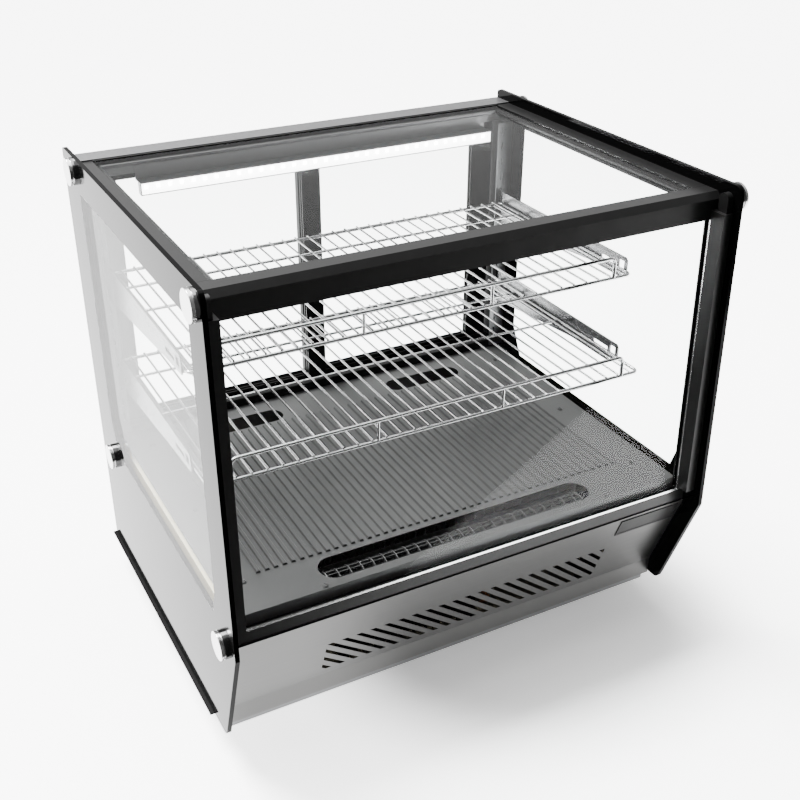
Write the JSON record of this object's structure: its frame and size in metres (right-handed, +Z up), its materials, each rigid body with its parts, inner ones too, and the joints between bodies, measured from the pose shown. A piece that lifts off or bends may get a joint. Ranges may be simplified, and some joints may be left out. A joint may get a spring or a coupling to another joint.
{
  "type": "countertop refrigerated display case",
  "caption": "Countertop refrigerated bakery display case with raked glass front, printed side glass, wire shelves, vented steel base and sliding rear doors",
  "frame": {"origin": "On the counter, below the middle of the case", "axes": "+X towards the right of someone facing the front, +Y towards the rear doors, +Z up"},
  "size_m": [0.7204, 0.569, 0.684],
  "materials": {
    "base_aluminium": "polished, darker than the caps",
    "seal_rubber": "matte",
    "screw_dark": "satin",
    "coil_black": "matte black",
    "rail_black": "satin black",
    "stainless": "brushed",
    "zinc_sheet": "satin",
    "foot_rubber": "matte",
    "badge_grey": "satin",
    "clear_glass": "clear",
    "side_glass_print": "clear with black printed border",
    "black_bar": "satin black",
    "grey_aluminium": "satin",
    "silver_trim": "bright",
    "black_plastic": "satin",
    "bracket_steel": "satin",
    "deck_grey": "satin",
    "chrome_wire": "bright",
    "board_white": "matte",
    "chip_yellow": "gloss",
    "diffuser_clear": "gloss",
    "liner_steel": "satin",
    "foam": "matte",
    "fan_plastic": "matte",
    "motor_paint": "gloss black",
    "coil_aluminium": "satin",
    "copper_tube": "copper, satin",
    "tray_plastic": "matte",
    "key_grey": "matte",
    "rocker_green": "gloss",
    "rocker_black": "gloss",
    "cap_aluminium": "satin"
  },
  "bodies": {
    "cabinet": {"base_pan": "zinc_sheet", "base_rail_left": "rail_black", "base_rail_right": "rail_black", "blower_motor": "motor_paint", "blower_trough": "zinc_sheet", "bolt_bases": "base_aluminium", "bolt_caps": "cap_aluminium", "bright_trim": "silver_trim", "compressor": "motor_paint", "condenser": "coil_black", "deck_plate": "deck_grey", "deck_screws": "screw_dark", "evaporator": "coil_aluminium", "fan_motor": "motor_paint", "fan_shroud": "coil_black", "foot_bolts": "zinc_sheet", "front_badge": "badge_grey", "front_glass": "clear_glass", "front_panel": "stainless", "front_sill": "black_bar", "front_stile_left": "black_bar", "front_stile_right": "black_bar", "led_board": "board_white", "led_chips": "chip_yellow", "led_diffuser": "diffuser_clear", "led_housing": "grey_aluminium", "power_inlet": "black_plastic", "rear_panel": "stainless", "rear_posts": "black_bar", "rear_sill": "black_plastic", "refrigerant_tubes": "copper_tube", "rubber_feet": "foot_rubber", "shelf_brackets": "bracket_steel", "shelf_standards": "zinc_sheet", "side_glass_left": "side_glass_print", "side_glass_right": "side_glass_print", "side_skirts": "zinc_sheet", "switch_bezels": "black_plastic", "thermostat": "black_plastic", "top_front_bar": "black_bar", "top_glass": "clear_glass", "top_glass_seal": "seal_rubber", "top_rear_rail": "grey_aluminium", "top_side_bar_left": "black_bar", "top_side_bar_right": "black_bar", "well_insulation": "foam", "well_liner": "liner_steel"},
    "door_left": {"door_frame_left": "black_plastic", "door_glass_left": "clear_glass"},
    "door_right": {"door_frame_right": "black_plastic", "door_glass_right": "clear_glass"},
    "upper_shelf": {"upper_shelf": "chrome_wire"},
    "lower_shelf": {"lower_shelf": "chrome_wire"},
    "blower_drum": {"blower_drum": "fan_plastic"},
    "fan_blades": {"fan_blades": "fan_plastic"},
    "power_rocker": {"power_rocker": "rocker_green"},
    "light_rocker": {"light_rocker": "rocker_black"},
    "thermostat_key_up": {"thermostat_key_up": "key_grey"},
    "thermostat_key_down": {"thermostat_key_down": "key_grey"},
    "drip_tray": {"drip_tray": "tray_plastic"}
  },
  "joints": [
    {"name": "door_left_slide", "type": "slide", "parent": "cabinet", "child": "door_left", "axis": [1, 0, 0], "range_m": [0, 0.305]},
    {"name": "door_right_slide", "type": "slide", "parent": "cabinet", "child": "door_right", "axis": [-1, 0, 0], "range_m": [0, 0.305]},
    {"name": "upper_shelf_lift", "type": "slide", "parent": "cabinet", "child": "upper_shelf", "axis": [0, 0, 1], "range_m": [0, 0.025]},
    {"name": "lower_shelf_lift", "type": "slide", "parent": "cabinet", "child": "lower_shelf", "axis": [0, 0, 1], "range_m": [0, 0.025]},
    {"name": "blower_drum_spin", "type": "hinge", "parent": "cabinet", "child": "blower_drum", "pos_m": [0, -0.207, 0.221], "axis": [1, 0, 0], "continuous": true},
    {"name": "condenser_fan_spin", "type": "hinge", "parent": "cabinet", "child": "fan_blades", "pos_m": [-0.06, -0.122, 0.104], "axis": [0, 1, 0], "continuous": true},
    {"name": "power_rocker_tilt", "type": "hinge", "parent": "cabinet", "child": "power_rocker", "pos_m": [-0.06, 0.2782, 0.205], "axis": [-1, 0, 0], "range_deg": [0, 16]},
    {"name": "light_rocker_tilt", "type": "hinge", "parent": "cabinet", "child": "light_rocker", "pos_m": [-0.02, 0.2782, 0.205], "axis": [-1, 0, 0], "range_deg": [0, 16]},
    {"name": "key_up_press", "type": "slide", "parent": "cabinet", "child": "thermostat_key_up", "axis": [0, -1, 0], "range_m": [0, 0.0012], "stiffness_N_per_m": 300},
    {"name": "key_down_press", "type": "slide", "parent": "cabinet", "child": "thermostat_key_down", "axis": [0, -1, 0], "range_m": [0, 0.0012], "stiffness_N_per_m": 300},
    {"name": "drip_tray_slide", "type": "slide", "parent": "cabinet", "child": "drip_tray", "axis": [0, 1, 0], "range_m": [0, 0.16]}
  ]
}
